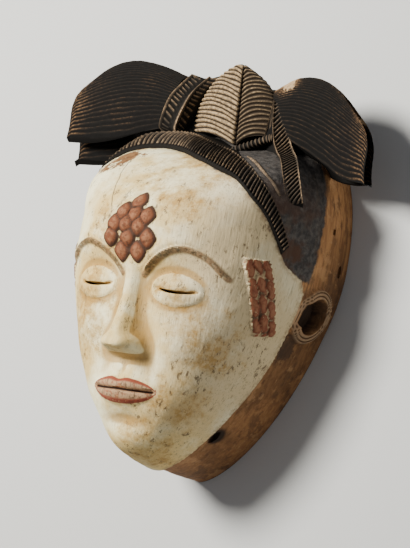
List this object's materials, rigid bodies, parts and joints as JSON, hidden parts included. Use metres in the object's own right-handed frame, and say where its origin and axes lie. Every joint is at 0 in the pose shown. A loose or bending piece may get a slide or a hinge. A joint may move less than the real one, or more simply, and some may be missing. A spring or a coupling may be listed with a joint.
{
  "type": "dance mask",
  "caption": "Hollow carved wooden face mask with whitened face, slit eyes, leaf-shaped crest and hooded side lobes, lying on its flat back rim.",
  "frame": {"origin": "middle of the bounding box in plan, on the plane of the flat back rim", "axes": "+Z out of the face, away from the back rim; +Y up the face from chin to crest; +X to the right as one looks at the face"},
  "size_m": [0.252, 0.2898, 0.136],
  "materials": {
    "carved_wood": "matt whitened face, blackened hair and bare brown wood sides"
  },
  "bodies": {
    "root": {"mask": "carved_wood"}
  },
  "joints": []
}
